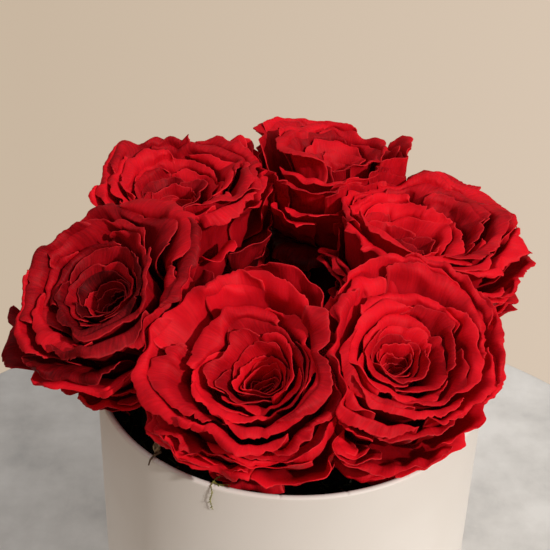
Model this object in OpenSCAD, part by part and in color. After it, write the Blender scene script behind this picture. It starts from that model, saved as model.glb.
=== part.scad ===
// Round flower box: a paper-covered board box with six large preserved roses
// that stand in dry foam under a layer of moss.
// Origin: centre of the base, on the table. +Z up, -Y is the front.

/* [Box] */
// Outside diameter of the covered box
box_d = 150; // [130:1:170]
// Height of the box from the table to the top of its rim
box_h = 140; // [115:1:170]
// Thickness of the greyboard tube wall
board_t = 1.8; // [1.4:0.1:3]
// Thickness of the greyboard base disc
base_t = 2; // [1.4:0.1:3]
// Thickness of the cover paper and of the lining paper
paper_t = 0.3; // [0.2:0.05:0.45]
// Glue line between two glued sheets
glue_gap = 0.1; // [0.05:0.01:0.2]

/* [Cover paper] */
// Height of the strip of cover that turns in over the rim
turn_in = 18; // [10:1:30]
// Width of the ring of cover that turns under the base
turn_under = 12; // [6:1:20]
// Number of slits cut in the turned-in strip
slit_count = 20; // [12:1:28]
// Width of one slit
slit_w = 0.6; // [0.3:0.1:1.2]
// Direction of the first slit
slit_az = -91.5; // [-99:0.5:-85]
// Distance of the base paper's edge from the box's outer face
base_paper_inset = 2.5; // [1:0.5:6]
// Distance of the lining's upper edge below the rim
lining_drop = 5; // [3:0.5:9]

/* [Foam and moss] */
// Distance of the foam's top below the rim
foam_drop = 40; // [34:1:50]
// Gap between the foam and the lining
foam_gap = 0.8; // [0.5:0.1:2]
// Depth to which each stem stands in the foam
stem_seat = 30; // [20:1:45]
// Running clearance of a stem in its hole in the foam, on the radius
bore_gap = 0.08; // [0.04:0.01:0.1]
// Gap between flat faces that rest on each other
seat_gap = 0.2; // [0.1:0.05:0.3]
// Thickness of the flat moss layer
moss_t = 9; // [6:0.5:12]
// Radius of one cushion of moss
moss_bump_r = 12; // [9:0.5:14]
// Number of moss cushions
moss_bumps = 32; // [18:1:36]
// Gap between the moss and each stem
moss_gap = 1; // [0.5:0.1:2]

/* [Roses] */
// Diameter of a rose head of size 1
rose_d = 75; // [66:1:78]
// Diameter of a stem
stem_d = 5; // [4:0.25:6.5]
// Thickness of a petal
petal_t = 0.6; // [0.4:0.05:0.8]
// Radius of the receptacle that carries the petals, on a head of size 1
receptacle_r = 9; // [8.5:0.1:9.6]
// Gap between two rose heads that press against each other
head_gap = 0.8; // [0.6:0.1:2]
// Gap between the petals and the box
rim_gap = 0.5; // [0.4:0.1:1.5]

/* [Moss on the rim] */
// Width and thickness of the loose strand of moss
strand_w = 0.7; // [0.5:0.1:1.2]
// Length of the strand that hangs outside the rim
strand_drop = 8; // [4:0.5:14]
// Length of the dry twig
twig_l = 7; // [4:0.5:10]

/* [Hidden] */
$fn = 64;

// Each rose: name, distance of its crown in from the box's outer face,
// direction round the box, height of its crown above the rim, tilt of its
// head, direction of the tilt, head size, turn of its petals.
ROSES = [
    ["rose_front_left", 18, -107, 34, 28, -112, 0.98, 70],
    ["rose_front_right", 12, -50, 37, 25, -68, 0.96, 48],
    ["rose_right", 15.5, 28, 42.5, 8, -10, 1.02, 64],
    ["rose_back_middle", 13, 75.5, 56.5, 6, 80, 0.87, 40],
    ["rose_back_left", 17, 141, 51.5, 8, -120, 0.95, 33],
    ["rose_left", 4, -165, 38.5, 30, -135, 0.98, 45],
];
ROSE_PIECES = ["heart", "inner_petals", "middle_petals", "outer_petals", "calyx", "stem"];

// Petal whorls on a head of size 1, from the heart out: number of petals,
// width of one in degrees, radius of its foot on the receptacle, then the
// other control points of its side profile, as (radius, height).
WHORLS = [
    [3, 108, 3.0, [7.0, 12], [9.5, 30], [7.5, 36]],
    [3, 110, 3.8, [9.5, 11], [13.0, 32], [11.5, 40]],
    [4, 83, 4.7, [12.5, 10], [16.5, 34], [16.5, 43]],
    [5, 66, 5.6, [15.5, 9], [20.5, 38], [22.5, 45]],
    [5, 67, 6.5, [18.5, 7], [25.0, 39], [29.0, 46]],
    [6, 56, 7.4, [21.0, 5], [31.0, 35], [35.5, 44.5]],
    [6, 56, 8.3, [23.0, 3], [34.0, 25], [37.5, 30]],
];
INNER_WHORLS = [0, 1];
MIDDLE_WHORLS = [2, 3];
OUTER_WHORLS = [4, 5, 6];
PROFILE_STEPS = 8;
// Diameter of a head of size 1 at these profiles
WHORL_D = 75;
// Height of a petal's foot above the receptacle
PETAL_SEAT = 0.42;
// Height of the crown above the receptacle's centre, and of the receptacle's top
CROWN_H = 36;
RECEPTACLE_TOP = 6.6;
// Rolled petals in the heart, and the step from one to the next
HEART_ROLLS = 4;
ROLL_ANGLE = 300;
ROLL_STEP = 1.35;
SEPALS = 5;
SEPAL_ANGLE = 34;
SEPAL_T = 1;
GOLDEN_ANGLE = 137.5;
FAR = 200;

box_r = box_d / 2;
tube_r = box_r - paper_t - glue_gap;
tube_in_r = tube_r - board_t;
turn_r = tube_in_r - glue_gap;
lining_r = turn_r - paper_t - glue_gap;
cavity_r = lining_r - paper_t;
wall_t = box_r - (turn_r - paper_t);
crown_z = box_h - wall_t / 2;
crown_r = box_r - wall_t / 2;
cover_base_z = paper_t + glue_gap;
tube_base_z = cover_base_z + paper_t + glue_gap;
board_top_z = tube_base_z + base_t;
lining_base_z = board_top_z + glue_gap;
foam_base_z = lining_base_z + paper_t + glue_gap;
foam_r = cavity_r - foam_gap;
foam_top_z = box_h - foam_drop;
bore_end_z = foam_top_z - stem_seat;
moss_base_z = foam_top_z + seat_gap;
stem_r = stem_d / 2;

// ---- Places of the roses -------------------------------------------------

function scale_of(i) = ROSES[i][6] * rose_d / WHORL_D;
function tilt_dir(i) = [
    sin(ROSES[i][4]) * cos(ROSES[i][5]), sin(ROSES[i][4]) * sin(ROSES[i][5]), cos(ROSES[i][4])
];
function crown_at(i) = [
    (box_r - ROSES[i][1]) * cos(ROSES[i][2]), (box_r - ROSES[i][1]) * sin(ROSES[i][2]),
    box_h + ROSES[i][3]
];
// The receptacle lies below the crown along the head's own axis
function receptacle_at(i) = crown_at(i) - CROWN_H * scale_of(i) * tilt_dir(i);
// Middle of a head in plan, where it presses on its neighbours
function waist_at(i) = let (p = (crown_at(i) + receptacle_at(i)) / 2) [p.x, p.y];
// Height of the receptacle's cone at a radius
function receptacle_top(r) = RECEPTACLE_TOP - r * (RECEPTACLE_TOP + 0.2) / (receptacle_r - 0.6);
function wrap_index(i) = (i + len(ROSES)) % len(ROSES);

// Puts a head's own frame, receptacle at the origin and axis up, in its place
module on_rose(i) {
    rose = ROSES[i];
    translate(receptacle_at(i))
    rotate([0, 0, rose[5]])
    rotate([0, rose[4], 0])
    rotate([0, 0, rose[7] - rose[5]])
    scale(scale_of(i))
        children();
}

// The half-space beyond the upright plane where two neighbouring heads meet
module beyond_neighbour(i, j) {
    a = waist_at(i);
    b = waist_at(j);
    share = scale_of(i) / (scale_of(i) + scale_of(j));
    meet = a + (b - a) * share;
    translate([meet.x, meet.y, 0])
    rotate([0, 0, atan2(b.y - a.y, b.x - a.x)])
    translate([-head_gap / 2, -FAR / 2, 0])
        cube([FAR, FAR, 2 * FAR]);
}

// The box wall with the clearance that petals keep from it. A larger outside
// radius also trims what would hang past the rim.
module wall_clearance(outside = box_r + rim_gap) {
    translate([0, 0, tube_base_z])
    difference() {
        cylinder(r = outside, h = box_h + rim_gap - tube_base_z);
        translate([0, 0, -1])
            cylinder(r = cavity_r - rim_gap, h = box_h + rim_gap + 2);
    }
}

// Trims a whorl to the room it has between its neighbours and above the wall
module in_its_room(i) {
    difference() {
        children();
        beyond_neighbour(i, wrap_index(i - 1));
        beyond_neighbour(i, wrap_index(i + 1));
        wall_clearance();
    }
}

// ---- Box -----------------------------------------------------------------

module box_tube() {
    color("tan")
    rotate_extrude() {
        translate([tube_in_r, tube_base_z])
            square([board_t, crown_z - tube_base_z]);
        translate([tube_in_r + board_t / 2, crown_z])
        intersection() {
            circle(d = board_t);
            translate([-board_t, 0]) square([2 * board_t, board_t]);
        }
    }
}

module cover_profile() {
    // outer face
    translate([box_r - paper_t, cover_base_z])
        square([paper_t, crown_z - cover_base_z]);
    // strip turned in over the rim
    translate([turn_r - paper_t, box_h - turn_in])
        square([paper_t, crown_z - box_h + turn_in]);
    // rounded crown of the rim
    translate([crown_r, crown_z])
    intersection() {
        difference() {
            circle(d = wall_t);
            circle(d = wall_t - 2 * paper_t);
        }
        translate([-wall_t, 0]) square([2 * wall_t, wall_t]);
    }
    // ring turned under the base
    translate([box_r - turn_under, cover_base_z])
        square([turn_under, paper_t]);
}

module box_wrap() {
    color("linen")
    difference() {
        rotate_extrude() cover_profile();
        for (k = [0 : slit_count - 1])
            rotate([0, 0, slit_az + k * 360 / slit_count])
            translate([turn_r - 2 * paper_t, -slit_w / 2, box_h - turn_in - 1])
                cube([crown_r - turn_r + paper_t, slit_w, turn_in + 2]);
    }
}

module base_board() {
    color("tan")
    translate([0, 0, tube_base_z])
        cylinder(r = tube_in_r - glue_gap, h = base_t);
}

module base_paper() {
    color("linen")
        cylinder(r = box_r - base_paper_inset, h = paper_t);
}

module lining_paper() {
    color("dimgray")
    translate([0, 0, lining_base_z])
    difference() {
        cylinder(r = lining_r, h = box_h - lining_drop - lining_base_z);
        translate([0, 0, -1])
            cylinder(r = cavity_r, h = box_h);
    }
}

module lining_floor() {
    color("dimgray")
    translate([0, 0, lining_base_z])
        cylinder(r = cavity_r - glue_gap, h = paper_t);
}

// ---- Foam and moss -------------------------------------------------------

module at_stem(i) {
    p = receptacle_at(i);
    translate([p.x, p.y, 0]) children();
}

module foam_block() {
    color("darkolivegreen")
    difference() {
        translate([0, 0, foam_base_z])
            cylinder(r = foam_r, h = foam_top_z - foam_base_z);
        for (i = [0 : len(ROSES) - 1])
            at_stem(i)
            translate([0, 0, bore_end_z - seat_gap])
                cylinder(r = stem_r + bore_gap, h = stem_seat + seat_gap + 1);
    }
}

module moss_bed() {
    reach = foam_r - moss_bump_r;
    sink = moss_bump_r * 0.4;
    color("olivedrab")
    difference() {
        union() {
            translate([0, 0, moss_base_z])
                cylinder(r = foam_r, h = moss_t);
            for (k = [0 : moss_bumps - 1])
                rotate([0, 0, k * GOLDEN_ANGLE])
                translate([reach * sqrt((k + 0.5) / moss_bumps), 0, moss_base_z + moss_t - sink])
                    sphere(r = moss_bump_r * (0.8 + 0.2 * sin(k * 77)));
        }
        translate([0, 0, moss_base_z - FAR])
            cylinder(r = box_r, h = FAR);
        for (i = [0 : len(ROSES) - 1])
            at_stem(i)
            translate([0, 0, foam_top_z - 1])
                cylinder(r = stem_r + moss_gap, h = foam_drop);
    }
}

// A loose strand that lies over the front of the rim
module moss_strand() {
    inner_r = cavity_r - seat_gap - strand_w;
    over_z = box_h + seat_gap;
    outer_r = box_r + seat_gap;
    color("yellowgreen")
    rotate([0, 0, -108])
    rotate_extrude(angle = strand_w / box_r * 180 / PI)
    polygon([
        [inner_r, box_h - 14], [inner_r + strand_w, box_h - 14],
        [inner_r + strand_w, over_z - 1], [inner_r + 2 * strand_w, over_z],
        [outer_r - strand_w, over_z], [outer_r, over_z - 1],
        [outer_r, box_h - strand_drop], [outer_r + strand_w, box_h - strand_drop - 1],
        [outer_r + strand_w, over_z], [outer_r - strand_w, over_z + strand_w],
        [inner_r + strand_w, over_z + strand_w], [inner_r, over_z]
    ]);
}

// A short dry twig that lies across the rim
module moss_twig() {
    color("saddlebrown")
    rotate([0, 0, -128])
    translate([box_r - wall_t - 1, 0, box_h + seat_gap + 0.6])
    rotate([0, 90, -20])
        cylinder(d1 = 1.2, d2 = 0.7, h = twig_l, $fn = 24);
}

// ---- Rose ----------------------------------------------------------------

// Point of a cubic curve through four control points
function curve_point(c, t) =
    pow(1 - t, 3) * c[0] + 3 * t * pow(1 - t, 2) * c[1]
    + 3 * t * t * (1 - t) * c[2] + pow(t, 3) * c[3];
function curve_normal(c, t) =
    let (
        d = 3 * pow(1 - t, 2) * (c[1] - c[0]) + 6 * t * (1 - t) * (c[2] - c[1])
            + 3 * t * t * (c[3] - c[2])
    ) [d.y, -d.x] / norm(d);

// A thin strip of even thickness along the curve
module curved_strip(c, thick) {
    polygon(concat(
        [for (k = [0 : PROFILE_STEPS])
            let (t = k / PROFILE_STEPS) curve_point(c, t) + curve_normal(c, t) * thick / 2],
        [for (k = [PROFILE_STEPS : -1 : 0])
            let (t = k / PROFILE_STEPS) curve_point(c, t) - curve_normal(c, t) * thick / 2]
    ));
}

// A petal: a slice of a turned strip, its free end rounded
module petal(c, angle) {
    chord = c[3] - c[0];
    half_w = c[2].x * sin(min(angle, 120) / 2) * 1.08;
    intersection() {
        rotate([0, 0, -angle / 2])
        rotate_extrude(angle = angle)
            curved_strip(c, petal_t);
        translate([c[0].x, 0, c[0].y])
        rotate([0, atan2(chord.x, chord.y), 0])
        rotate([90, 0, 90])
        translate([0, 0, -FAR / 2])
        linear_extrude(FAR) {
            translate([0, norm(chord) - half_w + petal_t]) circle(r = half_w);
            translate([-half_w, -FAR / 10])
                square([2 * half_w, norm(chord) - half_w + petal_t + FAR / 10]);
        }
    }
}

module whorl(k) {
    w = WHORLS[k];
    foot = [w[2], receptacle_top(w[2]) + PETAL_SEAT];
    for (n = [0 : w[0] - 1])
        rotate([0, 0, k * GOLDEN_ANGLE + n * 360 / w[0]])
            petal([foot, w[3], w[4], w[5]], w[1]);
}

// The bud at the centre: petals rolled round each other
module heart(i) {
    core_r = 0.8;
    roll_t = petal_t * 0.8;
    color("darkred")
    on_rose(i) {
        translate([0, 0, receptacle_top(0) + PETAL_SEAT])
            cylinder(r = core_r, h = CROWN_H - receptacle_top(0) - PETAL_SEAT);
        for (k = [0 : HEART_ROLLS - 1]) {
            foot_r = 1.3 + k * 0.25;
            foot_z = receptacle_top(foot_r + roll_t) + PETAL_SEAT;
            belly_r = 1 + (k + 1) * ROLL_STEP;
            tip_r = belly_r - 0.3;
            tip_z = CROWN_H - k * 0.8;
            rotate([0, 0, k * GOLDEN_ANGLE])
            rotate_extrude(angle = ROLL_ANGLE)
            polygon([
                [foot_r, foot_z + 0.2], [foot_r + roll_t, foot_z], [belly_r, CROWN_H / 2 + k],
                [tip_r, tip_z], [tip_r - roll_t, tip_z], [belly_r - roll_t, CROWN_H / 2 + k]
            ]);
        }
    }
}

module inner_petals(i) {
    color("crimson")
    in_its_room(i) on_rose(i) for (k = INNER_WHORLS) whorl(k);
}

module middle_petals(i) {
    color("firebrick")
    in_its_room(i) on_rose(i) for (k = MIDDLE_WHORLS) whorl(k);
}

module outer_petals(i) {
    color("red")
    in_its_room(i) on_rose(i) for (k = OUTER_WHORLS) whorl(k);
}

// The green cup under the petals, with its five sepals
module calyx(i) {
    socket_z = receptacle_at(i).z - 12 * scale_of(i);
    color("darkgreen")
    difference() {
        on_rose(i) {
            rotate_extrude()
            polygon([
                [0, RECEPTACLE_TOP], [receptacle_r - 0.6, -0.2], [receptacle_r, -1.6],
                [receptacle_r - 0.4, -4], [receptacle_r - 2, -6.5], [4, -8.5], [0, -9]
            ]);
            for (n = [0 : SEPALS - 1])
                rotate([0, 0, n * 360 / SEPALS - SEPAL_ANGLE / 2])
                rotate_extrude(angle = SEPAL_ANGLE)
                    curved_strip([[6, -2.5], [13, -4.5], [16.5, -2], [18.5, 3]], SEPAL_T);
        }
        wall_clearance(FAR);
        // socket that the stem's end fills
        at_stem(i)
        translate([0, 0, socket_z])
            cylinder(r = stem_r + seat_gap / 2, h = stem_top(i) + seat_gap / 2 - socket_z);
    }
}

function stem_top(i) = receptacle_at(i).z - 4 * scale_of(i);

module stem(i) {
    color("olive")
    at_stem(i)
    translate([0, 0, bore_end_z])
        cylinder(r = stem_r, h = stem_top(i) - bore_end_z);
}

box_tube();
box_wrap();
base_board();
base_paper();
lining_paper();
lining_floor();
foam_block();
moss_bed();
moss_strand();
moss_twig();
for (i = [0 : len(ROSES) - 1]) {
    name = ROSES[i][0];
    heart(i);
    inner_petals(i);
    middle_petals(i);
    outer_petals(i);
    calyx(i);
    stem(i);
}
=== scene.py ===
# %% [markdown]
# # A round flower box with six large roses
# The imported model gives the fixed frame, and this script dresses it. The box
# gets smooth paper, the moss its tufts, and each rose head is built again
# petal by petal, because thin curled petals are what the eye looks for.
# Lengths are in millimetres until MM turns them into Blender's metres.

import math
import random

import bmesh
import bpy
import numpy as np
from mathutils import Matrix, Vector


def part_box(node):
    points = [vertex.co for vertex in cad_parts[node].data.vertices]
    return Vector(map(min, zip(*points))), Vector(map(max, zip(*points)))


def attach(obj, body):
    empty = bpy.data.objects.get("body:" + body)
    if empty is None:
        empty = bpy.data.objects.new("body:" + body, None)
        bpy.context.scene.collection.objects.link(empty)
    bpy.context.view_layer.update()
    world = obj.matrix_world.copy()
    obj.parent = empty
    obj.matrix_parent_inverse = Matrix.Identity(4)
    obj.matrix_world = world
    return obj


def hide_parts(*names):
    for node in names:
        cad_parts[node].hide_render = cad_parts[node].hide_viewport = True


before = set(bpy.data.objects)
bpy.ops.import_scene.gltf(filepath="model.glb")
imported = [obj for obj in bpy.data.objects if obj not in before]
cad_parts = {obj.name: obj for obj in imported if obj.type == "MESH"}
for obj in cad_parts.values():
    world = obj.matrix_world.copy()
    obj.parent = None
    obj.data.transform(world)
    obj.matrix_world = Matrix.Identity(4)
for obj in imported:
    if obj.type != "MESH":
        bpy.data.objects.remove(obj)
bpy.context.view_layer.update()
MM = 0.001
print("nodes in the frame:", len(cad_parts))

# %% Sizes read from the frame
box_low, box_high = (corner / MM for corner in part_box("box_wrap"))
BOX_R = (box_high.x - box_low.x) / 2
BOX_H = box_high.z
LINING_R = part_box("lining_paper")[1].x / MM
FOAM_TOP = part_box("foam_block")[1].z / MM
print(f"box {2 * BOX_R:.1f} mm across and {BOX_H:.1f} mm high, foam up to {FOAM_TOP:.1f} mm")

# %% [markdown]
# ## Camera
# The view is from a little above, the way one looks at a box on a table. A
# long lens keeps the heads at the back almost as large as those in front. The
# camera is turned by its own axes, so its small roll is explicit.

# %% Camera
CAMERA_PLACE = Vector((0, -375.17, 421.32)) * MM
LOOK_DOWN, LOOK_LEFT, ROLL = 32.61, 1.09, 1.62  # degrees
IMAGE_SIDE, FOCAL_PIXELS, SENSOR = 550, 1200, 36


def add_object(name, data):
    """A new object of the scene."""
    added = bpy.data.objects.new(name, data)
    bpy.context.scene.collection.objects.link(added)
    return added


def rotation(degrees, axis, size=4):
    return Matrix.Rotation(math.radians(degrees), size, axis)


lens_data = bpy.data.cameras.new("camera")
lens_data.sensor_width = SENSOR
lens_data.lens = FOCAL_PIXELS / IMAGE_SIDE * SENSOR
camera = add_object("camera", lens_data)
camera.matrix_world = (Matrix.Translation(CAMERA_PLACE) @ rotation(LOOK_LEFT, "Z")
                       @ rotation(90 - LOOK_DOWN, "X") @ rotation(ROLL, "Z"))
bpy.context.scene.camera = camera
bpy.context.scene.view_settings.view_transform = "Standard"
print(f"lens {lens_data.lens:.1f} mm")

# %% [markdown]
# ## Shader sums
# A finish is easier to read as a sum of patterns than as a list of nodes.
# `Amount` wraps the output of a node, and its operators add the Math nodes.
# `Nodes` has a short method for each kind of node, and `Finish` is a material.

# %% Numbers in a shader
class Amount:
    """The output of a node, mostly a number that varies over a surface."""

    def __init__(self, nodes, socket):
        self.nodes, self.socket = nodes, socket

    def sum(self, operation, *parts):
        return self.nodes.node("ShaderNodeMath", {"operation": operation}, dict(enumerate(parts)))

    def __add__(self, other):
        return self.sum("ADD", self, other)

    def __radd__(self, other):
        return self.sum("ADD", other, self)

    def __sub__(self, other):
        return self.sum("SUBTRACT", self, other)

    def __rsub__(self, other):
        return self.sum("SUBTRACT", other, self)

    def __mul__(self, other):
        return self.sum("MULTIPLY", self, other)

    def __rmul__(self, other):
        return self.sum("MULTIPLY", other, self)

    def __abs__(self):
        return self.sum("ABSOLUTE", self)


# %% Nodes of a shader
class Nodes:
    """A node tree with one method that adds any node, and short ones for patterns."""

    def __init__(self, tree):
        self.tree = tree

    def node(self, kind, settings=None, inputs=None, output=0):
        node = self.tree.nodes.new(kind)
        for name, value in (settings or {}).items():
            setattr(node, name, value)
        for name, value in (inputs or {}).items():
            self.feed(node.inputs[name], value)
        return Amount(self, node.outputs[output])

    def feed(self, socket, value):
        if isinstance(value, Amount):
            self.tree.links.new(value.socket, socket)
        elif socket.type == "RGBA":
            socket.default_value = (*value, 1)
        else:
            socket.default_value = value

    def place(self, stretch=(1, 1, 1), source="Object"):
        texture = self.node("ShaderNodeTexCoord", output=source)
        return self.node("ShaderNodeMapping", {}, {"Vector": texture, "Scale": stretch})

    def noise(self, scale, detail=3, roughness=0.5, **place):
        return self.node("ShaderNodeTexNoise", {"noise_dimensions": "3D"}, {
            "Vector": self.place(**place), "Scale": scale, "Detail": detail, "Roughness": roughness})

    def attribute(self, name):
        return self.node("ShaderNodeAttribute", {"attribute_name": name}, output="Fac")

    def split(self, place):
        """The x, y and z of a place."""
        outputs = self.node("ShaderNodeSeparateXYZ", {}, {0: place}).socket.node.outputs
        return [Amount(self, socket) for socket in outputs]

    def ramp(self, amount, *stops):
        blended = self.node("ShaderNodeValToRGB", {}, {"Fac": amount})
        elements = blended.socket.node.color_ramp.elements
        while len(elements) < len(stops):
            elements.new(1)
        for element, (place, colour) in zip(elements, stops):
            element.position, element.color = place, (*colour, 1)
        return blended

    def band(self, amount, low, high, to_low=0, to_high=1, shape="SMOOTHSTEP"):
        return self.node("ShaderNodeMapRange", {"interpolation_type": shape}, {
            "Value": amount, "From Min": low, "From Max": high,
            "To Min": to_low, "To Max": to_high})

    def mix(self, share, first, second):
        # sockets 6 and 7 and output 2 are those for colours
        return self.node("ShaderNodeMix", {"data_type": "RGBA"}, {0: share, 6: first, 7: second}, output=2)


# %% A finish
NOISE_SPAN = (0.3, 0.7)  # a noise seldom goes beyond these


class Finish(Nodes):
    """A material with a Principled shader."""

    def __init__(self, name, specular, **fixed):
        self.material = bpy.data.materials.new(name)
        self.material.use_nodes = True
        super().__init__(self.material.node_tree)
        self.inputs = self.tree.nodes["Principled BSDF"].inputs
        self.inputs["Specular IOR Level"].default_value = specular
        for socket, value in fixed.items():
            self.inputs[socket.replace("_", " ")].default_value = value

    def colour(self, value):
        self.feed(self.inputs["Base Color"], value)

    def shade(self, amount, *stops):
        """Colours that follow a pattern."""
        self.colour(self.ramp(amount, *stops))

    def rough(self, amount, low, high):
        """Roughness that follows a pattern."""
        self.feed(self.inputs["Roughness"], self.band(amount, *NOISE_SPAN, low, high))

    def bump(self, height, depth, strength):
        self.feed(self.inputs["Normal"], self.node("ShaderNodeBump", {}, {
            "Strength": strength, "Distance": depth * MM, "Height": height}))


print("shader helpers ready")

# %% [markdown]
# ## Light and stage
# One small warm lamp stands in front to the right, like sun through a window,
# so each petal throws a clear shadow on the next. The world fills the shade,
# warm from the sides and cooler from above, but the camera sees it as a beige
# wall with painted shade, darker to the left and lighter to the right. The box
# stands on a round marble top.

# %% Sun and sky
SUN_BEARING, SUN_HEIGHT, SUN_WIDTH = -43, 33, 1.8  # degrees
FILL_LOW, FILL_SIDE, FILL_TOP = (0.10, 0.065, 0.04), (0.185, 0.118, 0.065), (0.56, 0.57, 0.575)
# the wall colours are painted shade: darker to the left, lighter to the right where the lamp is
WALL_LEFT, WALL_RIGHT, WALL_SPAN = (0.585, 0.471, 0.356), (0.69, 0.565, 0.445), 0.22

sun_data = bpy.data.lights.new("sun", "SUN")
sun_data.energy = 2.35
sun_data.angle = math.radians(SUN_WIDTH)
sun_data.color = (1, 0.965, 0.92)
sun = add_object("sun", sun_data)
sun.matrix_world = rotation(SUN_BEARING + 90, "Z") @ rotation(90 - SUN_HEIGHT, "X")

world = bpy.data.worlds.new("room")
bpy.context.scene.world = world
world.use_nodes = True
room = Nodes(world.node_tree)
right, _, up = room.split(room.node("ShaderNodeTexCoord", output="Generated"))
# painted shade on the backdrop, from darker at the left to lighter at the right
painted_shade_backdrop = room.ramp(room.band(right, -WALL_SPAN, WALL_SPAN, shape="LINEAR"), (0, WALL_LEFT), (1, WALL_RIGHT))
fill = room.ramp(room.band(up, -1, 1, shape="LINEAR"), (0, FILL_LOW), (0.5, FILL_SIDE), (1, FILL_TOP))
sky = room.tree.nodes["Background"]
room.feed(sky.inputs["Color"], fill)
surface = room.node("ShaderNodeMixShader", {}, {
    "Fac": room.node("ShaderNodeLightPath", output="Is Camera Ray"),
    1: Amount(room, sky.outputs[0]),
    2: room.node("ShaderNodeBackground", {}, {"Color": painted_shade_backdrop})})
room.feed(room.tree.nodes["World Output"].inputs["Surface"], surface)
print("sun energy", sun_data.energy)

# %% Round marble top
TABLE_R, TABLE_T, TABLE_PLACE, TABLE_ROUND = 227, 25, (-3, 13), 4
bm = bmesh.new()
bmesh.ops.create_cone(bm, cap_ends=True, segments=256, radius1=TABLE_R * MM, radius2=TABLE_R * MM,
                      depth=TABLE_T * MM)
bmesh.ops.translate(bm, verts=bm.verts, vec=Vector((*TABLE_PLACE, -TABLE_T / 2)) * MM)
rims = [edge for edge in bm.edges if edge.calc_face_angle(0) > 1]  # the sharp edges, in radians
bmesh.ops.bevel(bm, geom=rims, offset=TABLE_ROUND * MM, segments=4, affect="EDGES", profile=0.5, material=-1)
table_mesh = bpy.data.meshes.new("table")
bm.to_mesh(table_mesh)
bm.free()
table = add_object("table", table_mesh)
marble = Finish("marble", 0.5, Roughness=0.5)
clouds = marble.noise(14, 5, 0.55, stretch=(1, 1.6, 1))
patches = marble.noise(38, 4, 0.6, stretch=(1.4, 1, 1))
marble.shade(clouds * 0.65 + patches * 0.35, (0.36, (0.60, 0.585, 0.565)), (0.47, (0.74, 0.72, 0.69)),
             (0.60, (0.86, 0.84, 0.81)))
table_mesh.materials.append(marble.material)
print("table top", 2 * TABLE_R, "mm across")

# %% [markdown]
# ## Pieces from flat grids
# Paper, petals, sepals and moss are all thin sheets, so all are made the same
# way: the points of a flat grid are moved to their place, and sheets that
# belong together are joined into one piece, which rides its body and stands
# in for the plain solid.

# %% Sheets and pieces
def unit_grid(grid):
    """u from -1 to 1 across and t from 0 to 1 along, for the points of a flat grid."""
    return np.meshgrid(np.linspace(-1, 1, grid[0] + 1), np.linspace(0, 1, grid[1] + 1))


def sheet(grid, points, tone=0.5):
    """A flat grid moved to points, in mm and by row and column. The tone is kept for its finish."""
    bm = bmesh.new()
    bm.loops.layers.uv.new("flat")
    bmesh.ops.create_grid(bm, x_segments=grid[0], y_segments=grid[1], size=1, calc_uvs=True)
    mesh = bpy.data.meshes.new("sheet")
    bm.to_mesh(mesh)
    bm.free()
    flat = np.zeros(len(mesh.vertices) * 3)
    mesh.vertices.foreach_get("co", flat)
    column, row = (np.rint((flat[axis::3] + 1) / 2 * grid[axis]).astype(int) for axis in (0, 1))
    mesh.vertices.foreach_set("co", (points[row, column] * MM).ravel())
    layer = mesh.attributes.new("tone", "FLOAT", "POINT")
    layer.data.foreach_set("value", np.full(len(mesh.vertices), tone))
    return mesh


def finish_node(name, finish):
    """Gives a plain node of the frame its finish."""
    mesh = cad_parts[name].data
    mesh.materials.clear()
    mesh.materials.append(finish.material)


def piece(name, body, finish, sheets, thickness=0, weld=False):
    """Joins sheets into the piece that stands for a node. The plain node gets the same finish."""
    finish_node(name, finish)
    bm = bmesh.new()
    bm.verts.layers.float.new("tone")
    for mesh in sheets:
        bm.from_mesh(mesh)
        bpy.data.meshes.remove(mesh)
    if weld:
        bmesh.ops.remove_doubles(bm, verts=bm.verts, dist=1e-7)
    mesh = bpy.data.meshes.new(name + "_dressed")
    bm.to_mesh(mesh)
    bm.free()
    mesh.shade_smooth()
    mesh.materials.append(finish.material)
    dressed = add_object(mesh.name, mesh)
    if thickness:
        wall = dressed.modifiers.new("thickness", "SOLIDIFY")
        wall.thickness = thickness * MM
        wall.offset = 0
    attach(dressed, body)
    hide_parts(name)


def heading(around):
    """The level unit vector at an angle round the upright axis."""
    return np.array((math.cos(around), math.sin(around), 0))


def round_points(radius, height, around):
    """Points at radii and heights round the upright axis."""
    return np.stack([radius * np.cos(around), radius * np.sin(around), height + 0 * around], -1)


print("sheets are ready")

# %% [markdown]
# ## Paper and board
# The tube is wound from greyboard and wrapped in smooth cream paper. The
# paper is cut into a fringe where it turns in over the rim, and each cut
# leaves a small nick in the edge. Inside, a near-black sheet hides the board;
# its darkness is also painted shade for the deep inside of the box.

# %% Paper and board finishes
cover = Finish("cover_paper", 0.35)
fibres = cover.noise(1400)
shading = cover.noise(22, 2)
cover.shade(shading, (0.35, (0.87, 0.82, 0.765)), (0.65, (0.91, 0.865, 0.815)))
cover.rough(fibres, 0.44, 0.58)
cover.bump(fibres * 0.4 + shading, 0.06, 0.35)

greyboard = Finish("greyboard", 0.2)
flecks = greyboard.noise(700, 4)
greyboard.shade(flecks, (0.35, (0.27, 0.23, 0.18)), (0.65, (0.42, 0.37, 0.30)))
greyboard.rough(flecks, 0.8, 0.95)

# near-black lining: a dark sheet whose darkness also paints the shade deep inside the box
lining = Finish("lining_paper", 0.25)
grain = lining.noise(900)
lining.shade(grain, (0.3, (0.018, 0.013, 0.013)), (0.7, (0.034, 0.025, 0.025)))
lining.rough(grain, 0.6, 0.8)

for name, finish in (("box_tube", greyboard), ("base_board", greyboard), ("base_paper", cover),
                     ("lining_paper", lining), ("lining_floor", lining)):
    finish_node(name, finish)

# %% Cover paper with its rim
GLUE_GAP = 0.1
TURN_IN, TURN_UNDER = 18, 12
FOOT_Z, FOOT_ROUND = 0.4, 0.6
SLITS, SLIT_BEARING, NICK, NICK_HALF = 20, -91.5, 0.3, 0.028  # the last as a share of the spacing
WALL_T = BOX_R - LINING_R - GLUE_GAP
COVER_AROUND = 1100


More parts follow.
